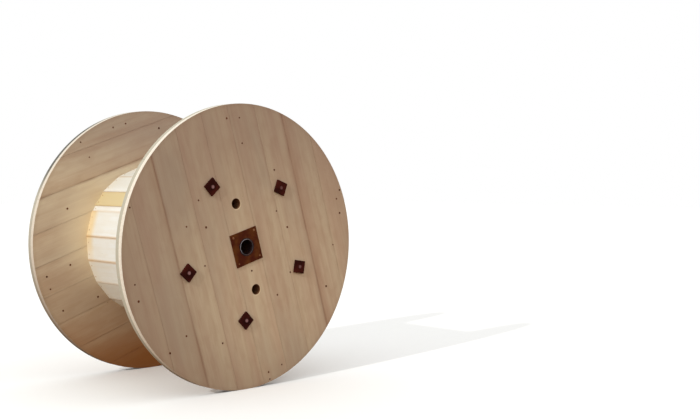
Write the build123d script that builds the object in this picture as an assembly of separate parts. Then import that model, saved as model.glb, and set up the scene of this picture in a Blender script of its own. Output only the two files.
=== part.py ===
from build123d import *
import os
from math import cos, radians, tan

# Wooden cable drum that lies on its rims, with its axis along Y and its front flange towards -Y.
# Two round flanges, each of two layers of crossed boards, close a barrel of flat staves. The stave
# ends are nailed to a support disc at each flange. Tie rods just inside the staves clamp it all,
# with a square plate nut on each rod end.
# Lengths are in millimetres. Angles are in degrees from +X towards +Z, as seen from the front.

# Flange boards. A shift is how far a layer's middle board lies off the drum's axis.
flange_diameter = 1100
board_width = 124.9
board_gap = 0.6
board_thickness = 19
narrowest_board = 60
front_inner_direction = 16.5
front_inner_shift = 0
front_outer_shift = -1
back_inner_direction = 20
back_inner_shift = 30
back_outer_shift = 0

# Barrel. The stave spans fill one quarter turn and repeat.
traverse_width = 610
barrel_across_flats = 624
stave_thickness = 18
stave_gap = 0.8
stave_spans = (12.5, 4.5, 19.5, 18, 18, 17.5)
quarter_turn = sum(stave_spans)
first_stave_angle = 139
support_disc_thickness = 30
support_disc_clearance = 0.3

# Tie rods and their plate nuts. A turn is how far a nut is turned from level.
rod_count = 5
first_rod_angle = 53.5
rod_diameter = 16
rod_to_stave = 2.5
rod_hole_clearance = 1
rod_end_proud = 2
rod_end_chamfer = 1
thread_clearance = 0.1
plate_nut_side = 50
plate_nut_thickness = 8
front_nut_turns = (-20, 43, 49, 44, -9)
back_nut_turns = (12, 60, -35, 28, 75)

# Spindle hole and its plate
bore_diameter = 58
bush_wall = 6
bush_clearance = 0.25
bush_proud = 0.5
centre_plate_side = 130
centre_plate_thickness = 4

# Drive holes, in line with the outer boards of the front flange
drive_hole_diameter = 40
drive_circle_radius = 174

# Values that follow from the sizes above
flange_radius = flange_diameter / 2
flange_thickness = 2 * board_thickness
board_pitch = board_width + board_gap
front_outer_direction = front_inner_direction - 90
back_outer_direction = back_inner_direction - 90
inner_face = traverse_width / 2
outer_face = inner_face + flange_thickness
stave_outer_apothem = barrel_across_flats / 2
stave_inner_apothem = stave_outer_apothem - stave_thickness
rod_circle_radius = stave_inner_apothem - rod_to_stave - rod_diameter / 2
rod_hole_diameter = rod_diameter + 2 * rod_hole_clearance
rod_angles = [first_rod_angle + index * 360 / rod_count for index in range(rod_count)]
bush_diameter = bore_diameter + 2 * bush_wall
bush_hole_diameter = bush_diameter + 2 * bush_clearance
drive_angles = (front_outer_direction, front_outer_direction + 180)


def slab(outline, y_front, thickness):
    """Solid of an outline drawn as seen from the front, from y_front back by its thickness."""
    back = Plane(origin=(0, y_front + thickness, 0), x_dir=(1, 0, 0), z_dir=(0, -1, 0))
    return extrude(back * outline, amount=thickness)


def at(radius, angle):
    """Place on a circle about the drum's axis, turned with it."""
    return Rot(0, 0, angle) * Pos(radius, 0)


def drive_holes():
    return [at(drive_circle_radius, angle) * Circle(drive_hole_diameter / 2) for angle in drive_angles]


def rod_holes():
    return [at(rod_circle_radius, angle) * Circle(rod_hole_diameter / 2) for angle in rod_angles]


def board_joints(shift):
    """Places of the joints across a layer. The last board on each side runs on to the rim."""
    last_joint = flange_radius - narrowest_board
    reach = int(flange_diameter / board_pitch) + 1
    joints = [shift + (index + 0.5) * board_pitch for index in range(-reach, reach)]
    return [joint for joint in joints if abs(joint) < last_joint]


def board_label(place, sides):
    """A board is named by how far it lies from its layer's middle board, and on which side."""
    if place == 0:
        return "middle"
    return f"{sides[place > 0]}_{abs(place)}"


def board_layer(name, y_front, direction, shift, sides):
    """One layer of boards, sawn to the flange's circle and drilled."""
    beyond_rim = flange_radius + board_gap
    joints = board_joints(shift)
    edges = [-beyond_rim, *joints, beyond_rim]
    boards_before_middle = sum(joint < shift for joint in joints)
    holes = [Circle(bush_hole_diameter / 2), *rod_holes(), *drive_holes()]
    boards = {}
    for index, (low, high) in enumerate(zip(edges, edges[1:])):
        strip = Rectangle(2 * flange_diameter, high - low - board_gap)
        placed_strip = Rot(0, 0, direction) * Pos(0, (low + high) / 2) * strip
        outline = (Circle(flange_radius) & placed_strip) - holes
        label = board_label(index - boards_before_middle, sides)
        boards[f"{name}_{label}"] = slab(outline, y_front, board_thickness)
    return boards


def stave(middle_angle, span):
    """Flat plank with mitred edges, whose faces lie square to its middle angle."""
    half_span = radians(span / 2)
    edge_setback = stave_gap / 2 / cos(half_span)
    inner_half = stave_inner_apothem * tan(half_span) - edge_setback
    outer_half = stave_outer_apothem * tan(half_span) - edge_setback
    corners = (
        (stave_inner_apothem, -inner_half),
        (stave_outer_apothem, -outer_half),
        (stave_outer_apothem, outer_half),
        (stave_inner_apothem, inner_half),
    )
    outline = Rot(0, 0, middle_angle) * Polygon(*corners, align=None)
    return slab(outline, -inner_face, traverse_width)


def barrel():
    """The staves, a quarter turn of them to each node."""
    quarters = {}
    for quarter in range(round(360 / quarter_turn)):
        start = first_stave_angle + quarter * quarter_turn
        staves = []
        for span in stave_spans:
            staves.append(stave(start + span / 2, span))
            start += span
        quarters[f"barrel_staves_{quarter + 1}"] = Compound(children=staves)
    return quarters


def support_disc(y_front):
    """Disc inside the stave ends, notched at its edge for the tie rods."""
    notch = Rectangle(2 * rod_diameter, rod_hole_diameter)
    notches = [at(rod_circle_radius + rod_diameter, angle) * notch for angle in rod_angles]
    disc = Circle(stave_inner_apothem - support_disc_clearance)
    outline = disc - [Circle(bush_hole_diameter / 2), *rod_holes(), *notches, *drive_holes()]
    return slab(outline, y_front, support_disc_thickness)


def tie_rod(angle):
    length = 2 * (outer_face + plate_nut_thickness + rod_end_proud)
    rod = slab(at(rod_circle_radius, angle) * Circle(rod_diameter / 2), -length / 2, length)
    return chamfer(rod.edges().filter_by(GeomType.CIRCLE), rod_end_chamfer)


def plate_nuts(y_front, turns):
    """The square nuts of one flange."""
    thread = Circle(rod_diameter / 2 + thread_clearance)
    nuts = []
    for angle, turn in zip(rod_angles, turns):
        level = Rot(0, 0, turn - angle) * (Rectangle(plate_nut_side, plate_nut_side) - thread)
        nuts.append(slab(at(rod_circle_radius, angle) * level, y_front, plate_nut_thickness))
    return Compound(children=nuts)


def centre_plate(y_front, direction):
    square = Rot(0, 0, direction) * Rectangle(centre_plate_side, centre_plate_side)
    return slab(square - Circle(bush_hole_diameter / 2), y_front, centre_plate_thickness)


def bush(y_front, length):
    return slab(Circle(bush_diameter / 2) - Circle(bore_diameter / 2), y_front, length)


def drum():
    bush_reach = outer_face + centre_plate_thickness + bush_proud
    bush_length = bush_reach - inner_face + support_disc_thickness
    middle_plane = inner_face + board_thickness
    sideways = ("left", "right")
    upwards = ("below", "above")
    layers = (
        ("front_outer_board", -outer_face, front_outer_direction, front_outer_shift, sideways),
        ("front_inner_board", -middle_plane, front_inner_direction, front_inner_shift, upwards),
        ("back_inner_board", inner_face, back_inner_direction, back_inner_shift, upwards),
        ("back_outer_board", middle_plane, back_outer_direction, back_outer_shift, sideways),
    )
    parts = {}
    for layer in layers:
        parts |= board_layer(*layer)
    parts |= barrel()
    parts["front_support_disc"] = support_disc(-inner_face)
    parts["back_support_disc"] = support_disc(inner_face - support_disc_thickness)
    for number, angle in enumerate(rod_angles, start=1):
        parts[f"tie_rod_{number}"] = tie_rod(angle)
    parts["front_plate_nuts"] = plate_nuts(-outer_face - plate_nut_thickness, front_nut_turns)
    parts["back_plate_nuts"] = plate_nuts(outer_face, back_nut_turns)
    parts["front_centre_plate"] = centre_plate(
        -outer_face - centre_plate_thickness, front_inner_direction
    )
    parts["back_centre_plate"] = centre_plate(outer_face, back_inner_direction)
    parts["front_bush"] = bush(-bush_reach, bush_length)
    parts["back_bush"] = bush(bush_reach - bush_length, bush_length)
    return parts


os.makedirs("parts", exist_ok=True)
for node, shape in drum().items():
    export_step(shape, f"parts/{node}.step")
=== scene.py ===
import math
import random
from collections import namedtuple

import bmesh
import bpy
from mathutils import Matrix, Vector


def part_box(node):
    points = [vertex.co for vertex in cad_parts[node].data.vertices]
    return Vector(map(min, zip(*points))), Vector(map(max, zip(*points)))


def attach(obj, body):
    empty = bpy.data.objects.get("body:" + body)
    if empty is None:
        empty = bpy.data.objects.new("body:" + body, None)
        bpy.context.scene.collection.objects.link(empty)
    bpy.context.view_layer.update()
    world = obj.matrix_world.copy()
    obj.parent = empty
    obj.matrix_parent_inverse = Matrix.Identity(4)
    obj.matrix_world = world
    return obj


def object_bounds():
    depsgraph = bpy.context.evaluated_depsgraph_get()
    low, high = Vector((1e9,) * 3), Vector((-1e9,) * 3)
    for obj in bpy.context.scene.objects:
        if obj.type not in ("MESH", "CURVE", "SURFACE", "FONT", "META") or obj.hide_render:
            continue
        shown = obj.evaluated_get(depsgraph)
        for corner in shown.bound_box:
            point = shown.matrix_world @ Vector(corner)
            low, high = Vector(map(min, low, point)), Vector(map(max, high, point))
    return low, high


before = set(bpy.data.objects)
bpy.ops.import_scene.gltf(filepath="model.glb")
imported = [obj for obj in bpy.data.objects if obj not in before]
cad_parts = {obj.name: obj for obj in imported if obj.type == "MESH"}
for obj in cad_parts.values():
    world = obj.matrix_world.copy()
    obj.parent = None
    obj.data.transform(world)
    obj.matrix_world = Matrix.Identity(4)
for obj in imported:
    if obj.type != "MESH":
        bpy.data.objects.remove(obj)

cad_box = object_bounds()


def srgb(red, green, blue):
    """Linear colour of an 8-bit display colour."""
    def linear(value):
        share = value / 255
        if share <= 0.04045:
            return share / 12.92
        return ((share + 0.055) / 1.055) ** 2.4
    return (linear(red), linear(green), linear(blue), 1.0)


# Angles, in degrees
RIGHT_ANGLE = 90
FULL_TURN = 360

# The Mix node's colour sockets, by number because their names repeat: share, both colours, result
MIX_INPUTS = (0, 6, 7)
MIX_RESULT = 2

# Camera, in metres and degrees
CAMERA_PLACE = (-2.469, -3.466, 0.247)
CAMERA_HEADING = -44.08
CAMERA_TILT = 88.52
CAMERA_ROLL = 0.36
CAMERA_LENS_MM = 53.02
CAMERA_SENSOR_MM = 36

# Light and floor
SUN_STRENGTH = 1.5
SUN_SOFTNESS = 1.2
SUN_TRAVEL = (0.89, 0.16, -0.43)
SUN_COLOUR = (1.0, 0.985, 0.95)
SKY_STRENGTH = 0.95
BACKDROP_STRENGTH = 1.0
WHITE = (1, 1, 1, 1)
FLOOR_SIZE = 60
FLOOR_ROUGHNESS = 0.9
FLOOR_SEEN = srgb(252, 252, 250)
FLOOR_BOUNCE = srgb(160, 136, 112)
FLOOR_LIFT = 0.02

# Drum layout as the part has it, in metres and degrees from +X towards +Z. Spans are the angles
# that the staves of a quarter turn take up.
GRAIN_ANGLES = {"front_outer": 106.5, "front_inner": 16.5, "back_inner": 20.0, "back_outer": 110.0}
STAVE_SPANS = (12.5, 4.5, 19.5, 18, 18, 17.5)
QUARTER_TURN = sum(STAVE_SPANS)
FIRST_STAVE_ANGLE = 139
FLANGE_RADIUS = cad_box[1].z
BARREL_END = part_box("barrel_staves_1")[1].y
BUSH_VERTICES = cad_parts["front_bush"].data.vertices
BORE_RADIUS = min(math.hypot(vertex.co.x, vertex.co.z) for vertex in BUSH_VERTICES)
DRIVE_HOLE_RADIUS = 0.02
DRIVE_CIRCLE_RADIUS = 0.174
DRIVE_ANGLE = 106.5

# Board joints, with the shade of a closed and of an open one. Those about half-way out have
# opened most, and show darkest. In the back flange's inner layer only those on the upper side have.
JOINT_WIDTH = 0.008
OPEN_JOINT_WIDTH = 0.010
OPEN_JOINTS = (0.5 * FLANGE_RADIUS, 0.7 * FLANGE_RADIUS)
BOTH_SIDES = (-1, 1)
UPPER_SIDE = (1,)
OPEN_SIDES = {
    "front_outer": BOTH_SIDES,
    "front_inner": BOTH_SIDES,
    "back_inner": UPPER_SIDE,
    "back_outer": BOTH_SIDES,
}
JOINT_DIRT = srgb(126, 80, 56)
JOINT_STAIN = srgb(140, 96, 62)
JOINT_STAIN_SHARE = 0.13
JOINT_STAIN_WIDTH = 0.05
JOINT_SHADES = {
    "front_outer": (0.06, 0.40),
    "front_inner": (0.16, 0.45),
    "back_inner": (0.14, 0.40),
    "back_outer": (0.12, 0.55),
}
JOINT_PATCH_SCALE = (5, 5, 5)
JOINT_PATCH_RANGE = (0.35, 0.60)
JOINT_PATCH_SHARES = (0.4, 1.0)

# Patterns made of noise: the scale, per metre, then the noise values at which the pattern starts
# and is full, and its share in the mix where it is full
Pattern = namedtuple("Pattern", "scale low high share")
BROAD_STREAKS = Pattern((0.5, 17, 17), 0.34, 0.66, 1.0)
NARROW_STREAKS = Pattern((0.8, 75, 75), 0.45, 0.72, 0.17)
MOTTLE = Pattern((12, 32, 32), 0.42, 0.66, 0.20)
BLOTCHES = Pattern((1.8, 5, 5), 0.46, 0.70, 0.5)
FIBRES = Pattern((7, 330, 330), 0.30, 0.70, 0.12)
END_GRAIN = Pattern((120, 120, 120), 0.3, 0.7, 0.25)
RUST_PATCHES = Pattern((26, 26, 26), 0.40, 0.64, 1.0)
STEEL_SPECKS = Pattern((420, 420, 420), 0.64, 0.80, 0.4)
NOISE_DETAIL = 3.0
FINE_GRAIN_DETAIL = 2.0
RUST_DETAIL = 5.0

# How far into a pattern a board may start, least and most
LOG_STARTS = (3, 90)
STREAK_STARTS = (0, 60)
FIBRE_STARTS = (0, 9)
BLOTCH_STARTS = (0, 40)
KNOT_STARTS = (0, 50)

# Growth rings: least and most of what differs from board to board, how far the rings wander, and
# the parts of a ring over which its line comes and goes
RINGS_PER_METRE = (110, 170)
PITH_SLANT = (-0.05, 0.05)
PITH_SIDEWAYS = (-0.05, 0.05)
PITH_DEPTH = (0.05, 0.11)
RING_WANDER_SCALE = (1.6, 7, 7)
RING_WANDER = 0.035
RING_COMES = (0.35, 0.86)
RING_GOES = (0.90, 1.0)
RING_SHARE = 0.10

# Knots: cells per metre, the least random value of a cell that has a knot, the distances in cells
# from a knot's centre where it is full and gone, and its share in the mix
Knots = namedtuple("Knots", "cells least full gone share")
LARGE_KNOTS = Knots((3.0, 6.6, 0.2), 0.84, 0.03, 0.07, 0.6)
PIN_KNOTS = Knots((14, 20, 0.2), 0.72, 0.03, 0.09, 0.4)
KNOT_SCATTER = 0.9
KNOT_CHOICE_WIDTH = 0.02
KNOT = srgb(98, 62, 42)

# Wood surface
WOOD_ROUGHNESS = 0.82
WOOD_GLOSS = 0.12
WOOD_RELIEF = 0.0005
WOOD_RELIEF_STRENGTH = 0.3
RING_RELIEF = -0.5

# Painted shade on the drive holes' walls, a painted highlight on one side of their lips, and a
# darkening towards the flanges' edges. The painted shade of a hole's wall fades away between two
# distances outside the hole's radius.
HOLE_WALL_SHADE = srgb(100, 54, 24)
HOLE_WALL_SHADE_SHARE = 0.94
HOLE_WALL_FADE = (0.0002, 0.0012)
HOLE_HIGHLIGHT = srgb(236, 218, 180)
HOLE_HIGHLIGHT_WIDTH = 0.005
HOLE_HIGHLIGHT_SHARE = 0.8
HOLE_HIGHLIGHT_SIDE = (0.8, 0, -0.6)
EDGE_DARKENING = srgb(120, 90, 66)
EDGE_DARKENING_SHARE = 0.12
EDGE_DARKENING_WIDTH = 0.02

# Wood colours: pale, streak, ring and stain
FRONT_COLOURS = (srgb(210, 191, 160), srgb(198, 171, 144), srgb(169, 130, 103), srgb(184, 171, 148))
BACK_INNER_COLOURS = (srgb(225, 209, 179), srgb(211, 189, 160), srgb(177, 140, 110), srgb(201, 183, 158))
HIDDEN_COLOURS = (srgb(202, 178, 148), srgb(186, 158, 128), srgb(158, 122, 92), srgb(172, 146, 120))
STAVE_COLOURS = (srgb(238, 242, 242), srgb(234, 235, 230), srgb(224, 215, 194), srgb(234, 234, 227))
DISC_COLOURS = (srgb(206, 180, 142), srgb(186, 154, 116), srgb(154, 116, 82), srgb(176, 148, 118))
LAYER_COLOURS = {
    "front_outer": FRONT_COLOURS,
    "front_inner": HIDDEN_COLOURS,
    "back_inner": BACK_INNER_COLOURS,
    "back_outer": FRONT_COLOURS,
}
BOARD_TINTS = (srgb(206, 178, 146), srgb(158, 122, 104))
MOST_TINT = 0.16
TINT_SEED = 700

# Rims. A rim starts and is full this far inside the flange's radius. The more a surface faces along
# the axis, the less it is rim: all of it up to the first value, and none from the second.
RIM_FADE = (0.0025, 0.0015)
RIM_ENDWISE = (0.5, 0.8)
RIM_COLOURS = {
    "front_outer": srgb(234, 228, 214),
    "front_inner": srgb(186, 184, 168),
    "back_inner": srgb(220, 212, 198),
    "back_outer": srgb(180, 178, 164),
}

# Staves. Widths of a joint's line are in degrees from the joint, the warm spans in degrees from the
# first stave, and the lengths of the painted light at the staves' ends, a golden glow bounced from the
# flanges, in metres from the barrel's end.
STAVE_SEED = 41
STAVE_SHADE = srgb(226, 220, 202)
STAVE_SHADE_RANGE = (0.2, 1.0)
STAVE_SHADE_SHARE = 0.20
WARM_STAVE = srgb(210, 188, 131)
WARM_STAVE_SHARE = 0.85
WARM_SPAN = STAVE_SPANS[0]
STAVE_JOINT = srgb(206, 164, 106)
STAVE_JOINT_CORE = 0.2
STAVE_JOINT_REACH = 1.7
STAVE_JOINT_SHARES = (0.2, 0.3, 0.62, 0.62, 0.3, 0.2)
WARM_BOUNCE = srgb(234, 206, 148)
WARM_BOUNCE_LENGTH = 0.065
WARM_BOUNCE_FULL = 0.02
WARM_BOUNCE_START = sum(STAVE_SPANS[:2])
WARM_BOUNCE_REACH = (34.0, 62.0)
WARM_BOUNCE_SHARES = (0.75, 0.10)

# Tints by place, each mixed in by the distance from a centre: none at the near distance, its full
# share at the far one. Where near is the larger, the tint is a patch about the centre. Centre and
# stretch are along X and Z. Some of them are painted shade and painted light, marked where they stand.
PlaceTint = namedtuple("PlaceTint", "centre stretch near far tint share")
PLACE_TINTS = {
    "front_outer": (
        PlaceTint((0.20, -0.18), (1, 1), 0.15, 0.75, srgb(143, 120, 107), 0.54),
        # Darker towards the bottom and the edges
        PlaceTint((0.15, 0.30), (1, 1), 0.60, 0.90, srgb(124, 94, 72), 0.22),
    ),
    "front_inner": (PlaceTint((0.0, 0.35), (1, 1), 0.3, 0.95, srgb(132, 88, 48), 0.5),),
    "back_inner": (
        # Painted shade: darker and orange away from the upper left, most at the bottom
        PlaceTint((-0.30, 0.35), (1, 1), 0.63, 0.93, srgb(162, 94, 0), 0.96),
        PlaceTint((0.0, -0.10), (0, 1), 0.30, 0.60, srgb(138, 114, 104), 0.59),
        # More painted shade, browner, away from the upper left
        PlaceTint((-0.30, 0.35), (1, 1), 0.45, 0.62, srgb(150, 96, 44), 0.22),
        # Painted light: a pale golden glow bounced from the sunlit barrel onto the flange beside it
        PlaceTint((-0.22, 0.03), (1, 1), 0.27, 0.08, srgb(248, 232, 196), 0.72),
    ),
    "back_outer": (PlaceTint((-0.10, 0.05), (1, 1), 0.12, 0.66, srgb(138, 112, 98), 0.5),),
}
STAVE_PLACE_TINTS = (
    PlaceTint((0.0, 0.25), (1, 1), 0.34, 0.62, srgb(230, 222, 182), 0.20),
    # Greyer on the barrel's sunlit upper left
    PlaceTint((-0.17, 0.27), (1, 1), 0.11, 0.04, srgb(212, 208, 194), 0.5),
)

# Painted shade on the rims, darker away from the upper left, the inner layers and the back flange
# most; on the back flange's outer rim also a dark grey patch of painted shade at the upper left
RIM_SHADE = srgb(104, 74, 48)
RIM_PAINTED_SHADE = {
    "front_outer": (PlaceTint((-0.30, 0.35), (1, 1), 0.55, 0.95, RIM_SHADE, 0.6),),
    "front_inner": (PlaceTint((-0.30, 0.35), (1, 1), 0.55, 0.95, RIM_SHADE, 0.85),),
    "back_inner": (PlaceTint((-0.30, 0.35), (1, 1), 0.35, 0.85, RIM_SHADE, 0.7),),
    "back_outer": (
        PlaceTint((-0.30, 0.35), (1, 1), 0.35, 0.85, RIM_SHADE, 0.85),
        PlaceTint((-0.39, 0.39), (1, 1), 0.26, 0.10, srgb(78, 80, 76), 0.85),
    ),
}

# Steels: dark, rust and bright colours, then the roughness
STEEL_LOOKS = {
    "centre_plate": (srgb(72, 24, 6), srgb(92, 48, 14), srgb(124, 78, 38), 0.85),
    "plate_nuts": (srgb(44, 6, 2), srgb(66, 18, 8), srgb(86, 46, 34), 0.90),
    "face_nail": (srgb(82, 46, 30), srgb(104, 62, 40), srgb(132, 90, 64), 0.65),
    "plate_nail": (srgb(116, 74, 46), srgb(140, 98, 68), srgb(180, 144, 112), 0.60),
    "stave_nail": (srgb(198, 166, 126), srgb(178, 142, 102), srgb(214, 186, 148), 0.65),
}
STEEL_GLOSS = 0.12
PIT_DEPTH = 0.0008
PIT_STRENGTH = 0.4
SPECK_RELIEF = 0.5

# Bush: its worn lip starts and ends this far outside the bore, and a painted highlight makes it
# brightest on one side. The reach of the highlight is in shares of the bore's radius.
BUSH_STEEL = (srgb(34, 24, 26), srgb(62, 34, 24), srgb(96, 70, 58), 0.5)
BRIGHT_LIP = srgb(184, 180, 192)
LIP_STARTS = (0.0001, 0.0003)
LIP_ENDS = (0.0014, 0.0024)
LIT_LIP_SIDE = (-0.87, 0, 0.5)
LIT_LIP_REACH = (-0.2, 0.95)
LIT_LIP_SHARES = (0.10, 0.95)

# Rod ends: pale in the middle, rusty from this share of the radius outwards
ROD_STEEL = (srgb(142, 106, 106), srgb(100, 62, 60), srgb(176, 146, 146), 0.60)
ROD_RUST = srgb(52, 16, 10)
ROD_RUST_FROM = 0.5
ROD_RUST_SHARE = 0.9

# Nails. A step of the dome is a share of the nail's radius and a share of its rise.
NAIL_RADIUS = 0.0044
NAIL_RISE = 0.0007
NAIL_SIDES = 12
NAIL_JITTER = 0.0015
NAIL_SIZES = (0.7, 1.1)
NAIL_DOME = ((1.0, 0.0), (0.92, 0.62), (0.55, 0.93))
PLATE_NAIL_RADIUS = 0.0046
PLATE_NAIL_RISE = 0.0014
PLATE_NAIL_INSET = 0.013
STAVE_NAIL_RADIUS = 0.003
STAVE_NAIL_FROM_END = 0.012
ONE_NAIL_SPAN = 8

# Each flange with its outward way along Y and the seed of its nails
NAILED_FLANGES = (("front", -1, 5), ("back", 1, 6))

# Nail rings of the flange faces: radius as a share of the flange's diameter, then the angles
OUTER_NAIL_RINGS = (
    (0.490, (24, -77, 163)),
    (0.463, (21, 14, -160, -167, -133, -77, -69)),
    (0.452, (101, 94)),
    (0.416, (-1, -23)),
    (0.382, (-131,)),
    (0.362, (93,)),
    (0.344, (-107,)),
    (0.300, (65,)),
    (0.262, (141, 163)),
    (0.228, (-51, -26)),
    (0.199, (19,)),
    (0.186, (42, 157, -162)),
    (0.090, (-73,)),
)
INNER_NAIL_RINGS = (
    (0.482, (130,)),
    (0.463, (112, 105, -159, -165, 41, 34, -6, -13, -52, -59, -72, -79)),
    (0.455, (-147,)),
    (0.437, (86, 61, 22, -33)),
    (0.417, (131,)),
    (0.386, (161,)),
    (0.361, (-167,)),
    (0.315, (-139, 95, 7, -75)),
)

# Eased edges of the solids
BOARD_ROUNDING = 0.0003
STEEL_ROUNDING = 0.001
ROUNDING_SEGMENTS = 2
SHARP_ANGLE = 40
WELD_DISTANCE = 0.00001


def direction(degrees):
    """Unit vector at an angle from +X towards +Z."""
    turn = math.radians(degrees)
    return Vector((math.cos(turn), 0, math.sin(turn)))


class Sheet:
    """A material's node tree, with short calls to add nodes and join them."""

    def __init__(self, name, roughness, gloss):
        self.material = bpy.data.materials.new(name)
        self.material.use_nodes = True
        self.tree = self.material.node_tree
        self.surface = self.tree.nodes["Principled BSDF"]
        self.surface.inputs["Roughness"].default_value = roughness
        self.surface.inputs["Specular IOR Level"].default_value = gloss

    def feed(self, socket, value):
        """Joins another node's output to a socket, or sets the socket to a plain value."""
        if isinstance(value, bpy.types.NodeSocket):
            self.tree.links.new(value, socket)
        else:
            socket.default_value = value

    def add(self, kind, inputs, **settings):
        node = self.tree.nodes.new(kind)
        for name, value in settings.items():
            setattr(node, name, value)
        for name, value in inputs.items():
            self.feed(node.inputs[name], value)
        return node

    def math(self, operation, first, second=0.0, third=0.0):
        return self.add("ShaderNodeMath", {0: first, 1: second, 2: third}, operation=operation).outputs[0]

    def product(self, first, second):
        return self.math("MULTIPLY", first, second)

    def vector_math(self, operation, first, second=(0, 0, 0)):
        node = self.add("ShaderNodeVectorMath", {0: first, 1: second}, operation=operation)
        return node.outputs["Value" if operation in ("DOT_PRODUCT", "LENGTH") else "Vector"]

    def vector(self, x, y, z):
        return self.add("ShaderNodeCombineXYZ", {0: x, 1: y, 2: z}).outputs[0]

    def noise(self, vector, scale, offset=(0, 0, 0), detail=NOISE_DETAIL):
        mapped = self.add("ShaderNodeMapping", {"Vector": vector, "Scale": scale, "Location": offset})
        inputs = {"Vector": mapped.outputs[0], "Scale": 1.0, "Detail": detail}
        return self.add("ShaderNodeTexNoise", inputs).outputs["Fac"]

    def fade(self, value, low, high, to_low=0.0, to_high=1.0):
        """Turns a value from low to high smoothly into one from to_low to to_high."""
        inputs = {"Value": value, "From Min": low, "From Max": high, "To Min": to_low, "To Max": to_high}
        return self.add("ShaderNodeMapRange", inputs, interpolation_type="SMOOTHSTEP").outputs["Result"]

    def band(self, value, comes, goes):
        """Rises smoothly over the first pair of values and falls over the second."""
        return self.product(self.fade(value, *comes), self.fade(value, *goes, 1.0, 0.0))

    def share(self, noise, pattern):
        """A pattern's share in the mix, from its noise."""
        return self.fade(noise, pattern.low, pattern.high, 0.0, pattern.share)

    def mix(self, share, first, second):
        node = self.add("ShaderNodeMix", {}, data_type="RGBA")
        for index, value in zip(MIX_INPUTS, (share, first, second)):
            self.feed(node.inputs[index], value)
        return node.outputs[MIX_RESULT]

    def place(self):
        return self.add("ShaderNodeTexCoord", {}).outputs["Object"]

    def radius(self, place):
        """Distance of a place from the Y axis."""
        return self.vector_math("LENGTH", self.vector_math("MULTIPLY", place, (1, 0, 1)))

    def bump(self, height, strength, distance):
        inputs = {"Height": height, "Strength": strength, "Distance": distance}
        self.feed(self.surface.inputs["Normal"], self.add("ShaderNodeBump", inputs).outputs[0])

    def colour(self, value):
        self.feed(self.surface.inputs["Base Color"], value)


def growth_rings(sheet, grain, along, across, depth, seed):
    """Ring lines of a board sawn from a log whose pith runs near it at a slight slant."""
    rings_per_metre = seed.uniform(*RINGS_PER_METRE)
    slant = seed.uniform(*PITH_SLANT)
    wander = sheet.product(sheet.noise(grain, RING_WANDER_SCALE), RING_WANDER)
    sideways = sheet.math("MULTIPLY_ADD", along, slant, across)
    sideways = sheet.math("ADD", sideways, seed.uniform(*PITH_SIDEWAYS))
    inwards = sheet.math("ADD", depth, seed.uniform(*PITH_DEPTH))
    from_pith = sheet.vector_math("LENGTH", sheet.vector(0.0, sideways, inwards))
    rings = sheet.product(sheet.math("ADD", from_pith, wander), rings_per_metre)
    return sheet.band(sheet.math("FRACT", rings), RING_COMES, RING_GOES)


def knots(sheet, grain, kind, seed):
    """Sparse dark oval knots, as a share. Cells whose random value is below the least have none."""
    offset = (seed.uniform(*KNOT_STARTS), seed.uniform(*KNOT_STARTS), 0)
    cells = sheet.add("ShaderNodeMapping", {"Vector": grain, "Scale": kind.cells, "Location": offset})
    inputs = {"Vector": cells.outputs[0], "Scale": 1.0, "Randomness": KNOT_SCATTER}
    voronoi = sheet.add("ShaderNodeTexVoronoi", inputs)
    cell_value = sheet.vector_math("DOT_PRODUCT", voronoi.outputs["Color"], (1, 0, 0))
    chosen = sheet.fade(cell_value, kind.least, kind.least + KNOT_CHOICE_WIDTH)
    spot = sheet.fade(voronoi.outputs["Distance"], kind.full, kind.gone, 1.0, 0.0)
    return sheet.product(sheet.product(chosen, spot), kind.share)


def wood(name, directions, colours, seed_number, middle=0.0):
    """Sawn softwood. Directions are the grain's, the one across it and the one through the board."""
    pale, streak, ring, stain = colours
    seed = random.Random(seed_number)
    sheet = Sheet(name, WOOD_ROUGHNESS, WOOD_GLOSS)
    place = sheet.place()
    along, across, depth = (sheet.vector_math("DOT_PRODUCT", place, way) for way in directions)
    across = sheet.math("SUBTRACT", across, middle)
    shifted = sheet.math("ADD", along, seed.uniform(*LOG_STARTS))
    grain = sheet.vector(shifted, across, depth)
    broad = sheet.noise(grain, BROAD_STREAKS.scale, (0, seed.uniform(*STREAK_STARTS), 0))
    narrow = sheet.noise(grain, NARROW_STREAKS.scale, (0, seed.uniform(*STREAK_STARTS), 0))
    fibre = sheet.noise(grain, FIBRES.scale, (0, 0, seed.uniform(*FIBRE_STARTS)), FINE_GRAIN_DETAIL)
    blotch = sheet.noise(grain, BLOTCHES.scale, (seed.uniform(*BLOTCH_STARTS), 0, 0))
    mottle = sheet.noise(grain, MOTTLE.scale, detail=FINE_GRAIN_DETAIL)
    rings = growth_rings(sheet, grain, along, across, depth, seed)

    colour = sheet.mix(sheet.share(broad, BROAD_STREAKS), pale, streak)
    colour = sheet.mix(sheet.share(narrow, NARROW_STREAKS), colour, ring)
    colour = sheet.mix(sheet.share(mottle, MOTTLE), colour, ring)
    colour = sheet.mix(sheet.product(rings, RING_SHARE), colour, ring)
    colour = sheet.mix(sheet.share(blotch, BLOTCHES), colour, stain)
    colour = sheet.mix(sheet.share(fibre, FIBRES), colour, ring)
    for kind in (LARGE_KNOTS, PIN_KNOTS):
        colour = sheet.mix(knots(sheet, grain, kind, seed), colour, KNOT)
    relief = sheet.math("MULTIPLY_ADD", rings, RING_RELIEF, fibre)
    sheet.bump(relief, WOOD_RELIEF_STRENGTH, WOOD_RELIEF)
    return sheet, place, across, colour


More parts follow.
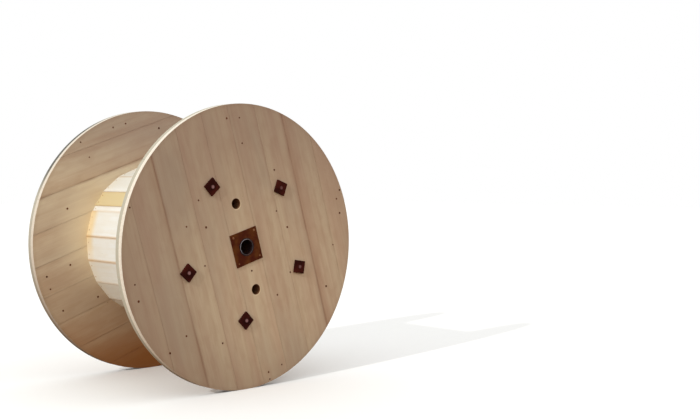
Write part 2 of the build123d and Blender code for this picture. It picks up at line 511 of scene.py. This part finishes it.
def tinted_by_place(sheet, place, colour, place_tints):
    """Mixes each place tint into a colour, painted shade and painted light among them."""
    for place_tint in place_tints:
        centre = (place_tint.centre[0], 0, place_tint.centre[1])
        offset = sheet.vector_math("SUBTRACT", place, centre)
        flat = sheet.vector_math("MULTIPLY", offset, (place_tint.stretch[0], 0, place_tint.stretch[1]))
        distance = sheet.vector_math("LENGTH", flat)
        share = sheet.fade(distance, place_tint.near, place_tint.far, 0.0, place_tint.share)
        colour = sheet.mix(share, colour, place_tint.tint)
    return colour


def grain_directions(layer):
    """A layer's directions along its boards, across them and through them."""
    angle = GRAIN_ANGLES[layer]
    return direction(angle), direction(angle + RIGHT_ANGLE), Vector((0, 1, 0))


def board_colours(layer, seed):
    """The layer's colours, moved a little towards one of the board tints."""
    tint = seed.choice(BOARD_TINTS)
    amount = seed.uniform(0.0, MOST_TINT)
    return [
        tuple(own + (other - own) * amount for own, other in zip(colour, tint))
        for colour in LAYER_COLOURS[layer]
    ]


def drive_hole_masks(sheet, place):
    """Painted shade on the walls of both drive holes, and a painted highlight on one side of the lip round
    each.
    """
    centre = direction(DRIVE_ANGLE) * DRIVE_CIRCLE_RADIUS
    wall_start, wall_end = (DRIVE_HOLE_RADIUS + outside for outside in HOLE_WALL_FADE)
    shaded_walls = []
    highlights = []
    for hole in (centre, -centre):
        offset = sheet.vector_math("SUBTRACT", place, hole)
        radius = sheet.radius(offset)
        # Painted shade on the hole's wall
        shaded_walls.append(sheet.fade(radius, wall_start, wall_end, HOLE_WALL_SHADE_SHARE, 0.0))
        # Painted highlight on the lip, on the side towards the light
        ring = sheet.fade(radius, wall_end, wall_end + HOLE_HIGHLIGHT_WIDTH, 1.0, 0.0)
        towards_light = sheet.vector_math("DOT_PRODUCT", offset, HOLE_HIGHLIGHT_SIDE)
        lit_share = sheet.fade(towards_light, 0.0, DRIVE_HOLE_RADIUS, 0.0, HOLE_HIGHLIGHT_SHARE)
        highlights.append(sheet.product(ring, lit_share))
    return sheet.math("MAXIMUM", *shaded_walls), sheet.math("MAXIMUM", *highlights)


def rim_mask(sheet, radius):
    """The sawn rim alone: far out, on faces that look away from the axis."""
    normal = sheet.add("ShaderNodeTexCoord", {}).outputs["Normal"]
    endwise = sheet.math("ABSOLUTE", sheet.vector_math("DOT_PRODUCT", normal, (0, 1, 0)))
    rim_start, rim_full = (FLANGE_RADIUS - inside for inside in RIM_FADE)
    far_out = sheet.fade(radius, rim_start, rim_full)
    return sheet.product(far_out, sheet.fade(endwise, *RIM_ENDWISE, 1.0, 0.0))


def rim_colour(sheet, place, layer):
    """Pale end grain with painted shade on the layer's rim."""
    _, streak, _, _ = LAYER_COLOURS[layer]
    grain = sheet.share(sheet.noise(place, END_GRAIN.scale), END_GRAIN)
    colour = sheet.mix(grain, RIM_COLOURS[layer], streak)
    return tinted_by_place(sheet, place, colour, RIM_PAINTED_SHADE[layer])


def with_joints(sheet, place, colour, layer, low, high, from_middle):
    """Adds patchy dirt at a board's two joints, and a soft stain just beyond an open one."""
    patches = sheet.noise(place, JOINT_PATCH_SCALE)
    patchy = sheet.fade(patches, *JOINT_PATCH_RANGE, *JOINT_PATCH_SHARES)
    closed_shade, open_shade = JOINT_SHADES[layer]
    for edge, side in ((low, -1), (high, 1)):
        is_open = any(OPEN_JOINTS[0] < edge * way < OPEN_JOINTS[1] for way in OPEN_SIDES[layer])
        shade, width = (open_shade, OPEN_JOINT_WIDTH) if is_open else (closed_shade, JOINT_WIDTH)
        from_edge = sheet.math("SUBTRACT", (high - low) / 2, sheet.product(from_middle, side))
        dirt = sheet.fade(from_edge, 0.0, width, shade, 0.0)
        colour = sheet.mix(sheet.product(dirt, patchy), colour, JOINT_DIRT)
        board_is_beyond = edge * side < 0
        if is_open and board_is_beyond:
            stain = sheet.fade(from_edge, 0.0, JOINT_STAIN_WIDTH, JOINT_STAIN_SHARE, 0.0)
            colour = sheet.mix(stain, colour, JOINT_STAIN)
    return colour


def board_wood(name, layer, seed_number):
    """A flange board: grain along it, dirt at its joints, tints by place with painted shade and light
    among them, and a pale sawn rim.
    """
    directions = grain_directions(layer)
    places = [vertex.co.dot(directions[1]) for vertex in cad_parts[name].data.vertices]
    low, high = min(places), max(places)
    middle = (low + high) / 2
    colours = board_colours(layer, random.Random(seed_number + TINT_SEED))
    sheet, place, from_middle, colour = wood(f"wood_{name}", directions, colours, seed_number, middle)
    # Tints by place, with painted shade and painted light among them
    colour = tinted_by_place(sheet, place, colour, PLACE_TINTS[layer])
    colour = with_joints(sheet, place, colour, layer, low, high, from_middle)
    shaded_hole_walls, hole_highlights = drive_hole_masks(sheet, place)
    # A painted highlight on the holes' lips, then painted shade on their walls
    colour = sheet.mix(shaded_hole_walls, sheet.mix(hole_highlights, colour, HOLE_HIGHLIGHT), HOLE_WALL_SHADE)
    radius = sheet.radius(place)
    # Darker towards the flange's edge
    edge_darkening = sheet.fade(radius, FLANGE_RADIUS - EDGE_DARKENING_WIDTH, FLANGE_RADIUS, 0.0, EDGE_DARKENING_SHARE)
    colour = sheet.mix(edge_darkening, colour, EDGE_DARKENING)
    sheet.colour(sheet.mix(rim_mask(sheet, radius), colour, rim_colour(sheet, place, layer)))
    return sheet.material


def stave_joints(sheet, from_first):
    """The lines between the staves, as a share, and a number that differs from stave to stave."""
    within_quarter = sheet.math("WRAP", from_first, QUARTER_TURN, 0.0)
    quarter_start = sheet.math("SUBTRACT", from_first, within_quarter)
    number = sheet.math("MULTIPLY", quarter_start, len(STAVE_SPANS))
    joint = sheet.fade(within_quarter, STAVE_JOINT_CORE, STAVE_JOINT_REACH, STAVE_JOINT_SHARES[-1], 0.0)
    joint_angle = 0
    for span, share in zip(STAVE_SPANS, STAVE_JOINT_SHARES):
        joint_angle += span
        number = sheet.math("ADD", number, sheet.math("GREATER_THAN", within_quarter, joint_angle))
        from_joint = sheet.math("ABSOLUTE", sheet.math("SUBTRACT", within_quarter, joint_angle))
        line = sheet.fade(from_joint, STAVE_JOINT_CORE, STAVE_JOINT_REACH, share, 0.0)
        joint = sheet.math("MAXIMUM", joint, line)
    return joint, number


def painted_bounce_at_ends(sheet, along_axis, from_first):
    """Painted light: the golden glow bounced from the flanges onto the ends of the staves that follow the
    first two, as a share.
    """
    from_middle = sheet.math("ABSOLUTE", along_axis)
    near_end = sheet.fade(from_middle, BARREL_END - WARM_BOUNCE_LENGTH, BARREL_END - WARM_BOUNCE_FULL)
    warmth = sheet.fade(from_first, *WARM_BOUNCE_REACH, *WARM_BOUNCE_SHARES)
    has_started = sheet.math("GREATER_THAN", from_first, WARM_BOUNCE_START)
    return sheet.product(near_end, sheet.product(warmth, has_started))


def stave_wood():
    """Pale staves, each with its own tone, told apart by their angle round the barrel."""
    directions = (Vector((0, 1, 0)), Vector((0, 0, 1)), Vector((1, 0, 0)))
    sheet, place, _, colour = wood("wood_staves", directions, STAVE_COLOURS, STAVE_SEED)
    split = sheet.add("ShaderNodeSeparateXYZ", {0: place})
    around = sheet.math("DEGREES", sheet.math("ARCTAN2", split.outputs["Z"], split.outputs["X"]))
    from_first = sheet.math("WRAP", sheet.math("SUBTRACT", around, FIRST_STAVE_ANGLE), FULL_TURN, 0.0)
    joint, number = stave_joints(sheet, from_first)
    tone = sheet.add("ShaderNodeTexWhiteNoise", {"W": number}, noise_dimensions="1D").outputs["Value"]
    shade = sheet.fade(tone, *STAVE_SHADE_RANGE, 0.0, STAVE_SHADE_SHARE)
    colour = sheet.mix(shade, colour, STAVE_SHADE)
    is_warm = sheet.math("LESS_THAN", from_first, WARM_SPAN)
    colour = sheet.mix(sheet.product(is_warm, WARM_STAVE_SHARE), colour, WARM_STAVE)
    # Painted light bounced from the flanges onto the staves' ends
    colour = sheet.mix(painted_bounce_at_ends(sheet, split.outputs["Y"], from_first), colour, WARM_BOUNCE)
    colour = tinted_by_place(sheet, place, colour, STAVE_PLACE_TINTS)
    sheet.colour(sheet.mix(joint, colour, STAVE_JOINT))
    return sheet.material


def disc_wood(name, seed_number):
    """A support disc's wood, with painted shade on the walls of its drive holes."""
    directions = (Vector((1, 0, 0)), Vector((0, 0, 1)), Vector((0, 1, 0)))
    sheet, place, _, colour = wood(name, directions, DISC_COLOURS, seed_number)
    shaded_hole_walls, _ = drive_hole_masks(sheet, place)
    # Painted shade on the walls of the drive holes
    sheet.colour(sheet.mix(shaded_hole_walls, colour, HOLE_WALL_SHADE))
    return sheet.material


def rusty_steel(name, dark, rust, bright, roughness):
    """Steel with patches of rust, lighter specks and a pitted surface."""
    sheet = Sheet(name, roughness, STEEL_GLOSS)
    place = sheet.place()
    patches = sheet.noise(place, RUST_PATCHES.scale, detail=RUST_DETAIL)
    specks = sheet.noise(place, STEEL_SPECKS.scale)
    colour = sheet.mix(sheet.share(patches, RUST_PATCHES), dark, rust)
    colour = sheet.mix(sheet.share(specks, STEEL_SPECKS), colour, bright)
    sheet.bump(sheet.math("MULTIPLY_ADD", specks, SPECK_RELIEF, patches), PIT_STRENGTH, PIT_DEPTH)
    sheet.colour(colour)
    return sheet, place, colour


def bush_steel():
    """The bush: rusty as its plate, with a thin worn lip at the bore and a painted highlight on one side
    of it.
    """
    sheet, place, colour = rusty_steel("steel_bush", *BUSH_STEEL)
    from_bore = sheet.math("SUBTRACT", sheet.radius(place), BORE_RADIUS)
    lip = sheet.band(from_bore, LIP_STARTS, LIP_ENDS)
    # Painted highlight: the lip is brightest on the side towards the light
    towards_light = sheet.vector_math("DOT_PRODUCT", place, LIT_LIP_SIDE)
    lit_start, lit_full = (share * BORE_RADIUS for share in LIT_LIP_REACH)
    lit_lip = sheet.fade(towards_light, lit_start, lit_full, *LIT_LIP_SHARES)
    sheet.colour(sheet.mix(sheet.product(lip, lit_lip), colour, BRIGHT_LIP))
    return sheet.material


def rod_steel(name):
    """A tie rod, whose ends rust from their edge and stay paler in the middle."""
    sheet, place, colour = rusty_steel(f"steel_{name}", *ROD_STEEL)
    low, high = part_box(name)
    rod_radius = (high.x - low.x) / 2
    from_axis = sheet.radius(sheet.vector_math("SUBTRACT", place, (low + high) / 2))
    rust = sheet.fade(from_axis, ROD_RUST_FROM * rod_radius, rod_radius, 0.0, ROD_RUST_SHARE)
    sheet.colour(sheet.mix(rust, colour, ROD_RUST))
    return sheet.material


def steel_materials():
    """The steels that several pieces share, by kind."""
    steels = {}
    for kind, look in STEEL_LOOKS.items():
        sheet, _, _ = rusty_steel(f"steel_{kind}", *look)
        steels[kind] = sheet.material
    steels["bush"] = bush_steel()
    return steels


def soften_edges(node, width):
    """Rounds a CAD node's edges a little. Its own mesh stays as it is."""
    weld = node.modifiers.new("weld", "WELD")
    weld.merge_threshold = WELD_DISTANCE
    bevel = node.modifiers.new("eased_edges", "BEVEL")
    bevel.width = width
    bevel.segments = ROUNDING_SEGMENTS
    bevel.limit_method = "ANGLE"
    bevel.angle_limit = math.radians(SHARP_ANGLE)
    node.modifiers.new("face_normals", "WEIGHTED_NORMAL").keep_sharp = True


def wear(node, material, rounding):
    """Gives a CAD node its material and its eased edges."""
    node.data.materials.clear()
    node.data.materials.append(material)
    soften_edges(node, rounding)


def dress_frame(steels):
    """Dresses every CAD node by its name."""
    staves = stave_wood()
    for seed_number, name in enumerate(sorted(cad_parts)):
        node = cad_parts[name]
        if "_board_" in name:
            wear(node, board_wood(name, name.split("_board_")[0], seed_number), BOARD_ROUNDING)
        elif name.startswith("barrel_staves"):
            wear(node, staves, BOARD_ROUNDING)
        elif name.endswith("support_disc"):
            wear(node, disc_wood(f"wood_{name}", seed_number), BOARD_ROUNDING)
        elif name.startswith("tie_rod"):
            wear(node, rod_steel(name), STEEL_ROUNDING)
        else:
            kind = next(kind for kind in steels if kind in name)
            wear(node, steels[kind], STEEL_ROUNDING)


def add_object(name, data):
    """A new object of the scene, made of a mesh, a lamp or a camera."""
    made = bpy.data.objects.new(name, data)
    bpy.context.scene.collection.objects.link(made)
    return made


def add_piece(name, shape, material):
    """A new object made from a bmesh, in one material."""
    mesh = bpy.data.meshes.new(name)
    shape.to_mesh(mesh)
    shape.free()
    mesh.materials.append(material)
    return add_object(name, mesh)


def add_nail_head(shape, centre, outward, radius, rise):
    """Adds a low dome with its edge on the surface."""
    place = Matrix.Translation(centre) @ outward.to_track_quat("Z", "Y").to_matrix().to_4x4()
    turns = [2 * math.pi * side / NAIL_SIDES for side in range(NAIL_SIDES)]
    loops = []
    for share, height in NAIL_DOME:
        reach = radius * share
        points = [(reach * math.cos(turn), reach * math.sin(turn), rise * height) for turn in turns]
        loops.append([shape.verts.new(place @ Vector(point)) for point in points])
    top = shape.verts.new(place @ Vector((0, 0, rise)))
    for side in range(NAIL_SIDES):
        following = (side + 1) % NAIL_SIDES
        for lower, upper in zip(loops, loops[1:]):
            shape.faces.new((lower[side], lower[following], upper[following], upper[side]))
        shape.faces.new((loops[-1][side], loops[-1][following], top))
    shape.faces.new(list(reversed(loops[0])))


def add_nails(name, spots, radius, rise, material):
    """One joined piece of nail heads. Each spot is a centre and an outward direction."""
    shape = bmesh.new()
    seed = random.Random(name)
    for centre, outward in spots:
        add_nail_head(shape, centre, outward, radius * seed.uniform(*NAIL_SIZES), rise)
    piece = add_piece(name, shape, material)
    for polygon in piece.data.polygons:
        polygon.use_smooth = True
    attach(piece, "root")


def ring_spots(rings, face_y, outward, seed_number):
    """Nails on rings about the drum's axis, each a little off its place."""
    seed = random.Random(seed_number)
    spots = []
    for share, angles in rings:
        for angle in angles:
            radius = share * 2 * FLANGE_RADIUS + seed.uniform(-NAIL_JITTER, NAIL_JITTER)
            centre = direction(angle) * radius + Vector((0, face_y, 0))
            spots.append((centre, Vector((0, outward, 0))))
    return spots


def plate_spots(side, face_y, outward):
    """One nail at each corner of a centre plate."""
    level, upright, _ = grain_directions(f"{side}_inner")
    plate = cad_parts[f"{side}_centre_plate"].data.vertices
    reach = max(vertex.co.dot(level) for vertex in plate) - PLATE_NAIL_INSET
    face = Vector((0, face_y, 0))
    way = Vector((0, outward, 0))
    spots = []
    for across in (-reach, reach):
        for up in (-reach, reach):
            spots.append((level * across + upright * up + face, way))
    return spots


def stave_face_apothem():
    """Distance from the axis to a stave's outer face, read from the first stave's mesh."""
    half_span = STAVE_SPANS[0] / 2
    outward = direction(FIRST_STAVE_ANGLE + half_span)
    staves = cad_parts["barrel_staves_1"].data.vertices
    flat = [Vector((vertex.co.x, 0, vertex.co.z)) for vertex in staves]
    return max(point.dot(outward) for point in flat if point.angle(outward) < math.radians(half_span))


def stave_spots():
    """Nails near each end of each stave, on its flat outer face: two, or one in a narrow stave."""
    apothem = stave_face_apothem()
    nail_y = BARREL_END - STAVE_NAIL_FROM_END
    spots = []
    start = FIRST_STAVE_ANGLE
    for span in STAVE_SPANS * round(FULL_TURN / QUARTER_TURN):
        outward = direction(start + span / 2)
        sideways = direction(start + span / 2 + RIGHT_ANGLE)
        half_way = apothem * math.tan(math.radians(span / 2)) / 2
        places_across = (0,) if span < ONE_NAIL_SPAN else (-half_way, half_way)
        for across in places_across:
            for y in (-nail_y, nail_y):
                spots.append((outward * apothem + sideways * across + Vector((0, y, 0)), outward))
        start += span
    return spots


def nail_everything(steels):
    """Nails both flanges inside and out, the centre plates and the staves."""
    outer_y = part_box("back_outer_board_middle")[1].y
    inner_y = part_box("back_inner_board_middle")[0].y
    plate_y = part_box("back_centre_plate")[1].y
    for side, sign, seed_number in NAILED_FLANGES:
        outer = ring_spots(OUTER_NAIL_RINGS, sign * outer_y, sign, seed_number)
        add_nails(f"{side}_outer_nails", outer, NAIL_RADIUS, NAIL_RISE, steels["face_nail"])
        inner = ring_spots(INNER_NAIL_RINGS, sign * inner_y, -sign, seed_number)
        add_nails(f"{side}_inner_nails", inner, NAIL_RADIUS, NAIL_RISE, steels["face_nail"])
        corners = plate_spots(side, sign * plate_y, sign)
        add_nails(f"{side}_plate_nails", corners, PLATE_NAIL_RADIUS, PLATE_NAIL_RISE, steels["plate_nail"])
    add_nails("stave_nails", stave_spots(), STAVE_NAIL_RADIUS, NAIL_RISE, steels["stave_nail"])


def add_floor():
    """A floor that keeps the drum's shadow. The camera sees it pale, and it reflects brown light."""
    half = FLOOR_SIZE / 2
    height = cad_box[0].z
    shape = bmesh.new()
    corners = ((-half, -half), (half, -half), (half, half), (-half, half))
    shape.faces.new([shape.verts.new((x, y, height)) for x, y in corners])
    sheet = Sheet("pale_floor", FLOOR_ROUGHNESS, gloss=0.0)
    seen = sheet.add("ShaderNodeLightPath", {}).outputs["Is Camera Ray"]
    sheet.colour(sheet.mix(seen, FLOOR_BOUNCE, FLOOR_SEEN))
    sheet.surface.inputs["Emission Color"].default_value = FLOOR_SEEN
    sheet.feed(sheet.surface.inputs["Emission Strength"], sheet.product(seen, FLOOR_LIFT))
    floor = add_piece("floor", shape, sheet.material)


def add_sun():
    """The one lamp, from the upper left behind the camera."""
    sun = bpy.data.lights.new("sun", "SUN")
    sun.energy = SUN_STRENGTH
    sun.angle = math.radians(SUN_SOFTNESS)
    sun.color = SUN_COLOUR
    lamp = add_object("sun", sun)
    lamp.rotation_euler = Vector(SUN_TRAVEL).to_track_quat("-Z", "Y").to_euler()


def add_sky():
    """An even sky. The camera, and what it sees in gloss, finds a white backdrop in its place."""
    world = bpy.data.worlds.new("studio")
    bpy.context.scene.world = world
    world.use_nodes = True
    tree = world.node_tree
    sky = tree.nodes["Background"]
    sky.inputs["Color"].default_value = WHITE
    sky.inputs["Strength"].default_value = SKY_STRENGTH
    backdrop = tree.nodes.new("ShaderNodeBackground")
    backdrop.inputs["Color"].default_value = WHITE
    backdrop.inputs["Strength"].default_value = BACKDROP_STRENGTH
    rays = tree.nodes.new("ShaderNodeLightPath")
    seen = rays.outputs["Is Camera Ray"]
    for name in ("Is Glossy Ray", "Is Transmission Ray"):
        either = tree.nodes.new("ShaderNodeMath")
        either.operation = "MAXIMUM"
        tree.links.new(seen, either.inputs[0])
        tree.links.new(rays.outputs[name], either.inputs[1])
        seen = either.outputs[0]
    choice = tree.nodes.new("ShaderNodeMixShader")
    for source, socket in ((seen, 0), (sky.outputs[0], 1), (backdrop.outputs[0], 2)):
        tree.links.new(source, choice.inputs[socket])
    tree.links.new(choice.outputs[0], tree.nodes["World Output"].inputs["Surface"])


def rotation(degrees, axis):
    """A turn about an axis, as a 4 by 4 matrix."""
    return Matrix.Rotation(math.radians(degrees), 4, axis)


def add_camera():
    """The camera, where the photo's was."""
    data = bpy.data.cameras.new("camera")
    data.lens = CAMERA_LENS_MM
    data.sensor_width = CAMERA_SENSOR_MM
    data.sensor_fit = "HORIZONTAL"
    camera = add_object("camera", data)
    heading = rotation(CAMERA_HEADING, "Z")
    tilt = rotation(CAMERA_TILT, "X")
    roll = rotation(CAMERA_ROLL, "Z")
    camera.matrix_world = Matrix.Translation(CAMERA_PLACE) @ heading @ tilt @ roll
    bpy.context.scene.camera = camera


add_camera()
add_sun()
add_sky()
add_floor()
bpy.context.scene.view_settings.view_transform = "Standard"
steels = steel_materials()
dress_frame(steels)
nail_everything(steels)
